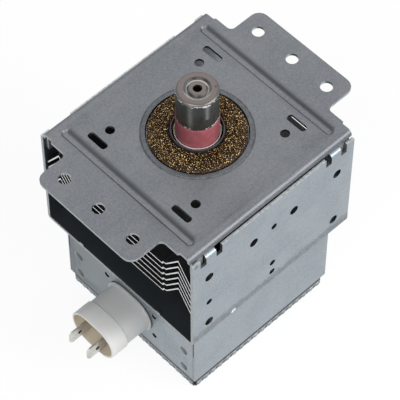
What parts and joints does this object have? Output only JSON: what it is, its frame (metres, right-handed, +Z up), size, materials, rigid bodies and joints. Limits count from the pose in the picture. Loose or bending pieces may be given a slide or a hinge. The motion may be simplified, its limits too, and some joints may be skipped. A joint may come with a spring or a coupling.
{
  "type": "microwave magnetron",
  "caption": "Microwave oven magnetron with folded steel yoke, cooling fins, antenna cap, gasket and a filter box with a two-tab connector.",
  "frame": {"origin": "centre of the filter box cover underside, on the antenna axis", "axes": "+Z up along the antenna, X between the yoke side walls, -Y towards the connector"},
  "size_m": [0.0786, 0.1165, 0.1233],
  "materials": {
    "zinc_plated_steel": "zinc plated sheet steel, semi-matt, faint scratches",
    "antenna_cap_steel": "bare drawn steel, fine vertical streaks",
    "gasket_wire_mesh": "knitted copper-alloy wire mesh, bright specks",
    "pink_alumina": "glazed pink alumina ceramic",
    "white_alumina": "white alumina ceramic, unglazed",
    "copper": "brazed oxygen-free copper, clean",
    "ferrite": "sintered ferrite, dark grey, matt",
    "fin_aluminium": "rolled aluminium sheet",
    "tungsten": "dark refractory metal",
    "connector_plastic": "off-white moulded plastic",
    "potting_resin": "beige cast resin",
    "tinned_terminal": "tin plated metal, bright"
  },
  "bodies": {
    "root": {"anode_cylinder": "copper", "anode_vane_1": "copper", "anode_vane_10": "copper", "anode_vane_2": "copper", "anode_vane_3": "copper", "anode_vane_4": "copper", "anode_vane_5": "copper", "anode_vane_6": "copper", "anode_vane_7": "copper", "anode_vane_8": "copper", "anode_vane_9": "copper", "antenna_cap": "antenna_cap_steel", "antenna_insulator": "pink_alumina", "antenna_lead": "copper", "box_rivet_1": "tinned_terminal", "box_rivet_2": "tinned_terminal", "box_rivet_3": "tinned_terminal", "box_rivet_4": "tinned_terminal", "capacitor_body": "white_alumina", "capacitor_flange": "tinned_terminal", "cathode_filament": "tungsten", "centre_lead": "tungsten", "choke_coil_1": "copper", "choke_coil_2": "copper", "choke_core_1": "ferrite", "choke_core_2": "ferrite", "connector_potting": "potting_resin", "connector_shell": "connector_plastic", "cooling_fin_1": "fin_aluminium", "cooling_fin_2": "fin_aluminium", "cooling_fin_3": "fin_aluminium", "cooling_fin_4": "fin_aluminium", "cooling_fin_5": "fin_aluminium", "cooling_fin_6": "fin_aluminium", "exhaust_tube": "copper", "filter_box": "zinc_plated_steel", "filter_box_cover": "zinc_plated_steel", "gasket_collar": "antenna_cap_steel", "input_seal_ring": "copper", "lower_end_hat": "tungsten", "lower_inner_strap": "copper", "lower_magnet": "ferrite", "lower_outer_strap": "copper", "lower_pole_piece": "antenna_cap_steel", "output_seal_ring": "copper", "rf_gasket": "gasket_wire_mesh", "side_lead": "tungsten", "stem_insulator": "white_alumina", "stem_terminal_1": "tinned_terminal", "stem_terminal_2": "tinned_terminal", "terminal_tab_1": "tinned_terminal", "terminal_tab_2": "tinned_terminal", "upper_end_hat": "tungsten", "upper_inner_strap": "copper", "upper_magnet": "ferrite", "upper_outer_strap": "copper", "upper_pole_piece": "antenna_cap_steel", "upper_yoke_plate": "zinc_plated_steel", "yoke_frame": "zinc_plated_steel"}
  },
  "joints": []
}
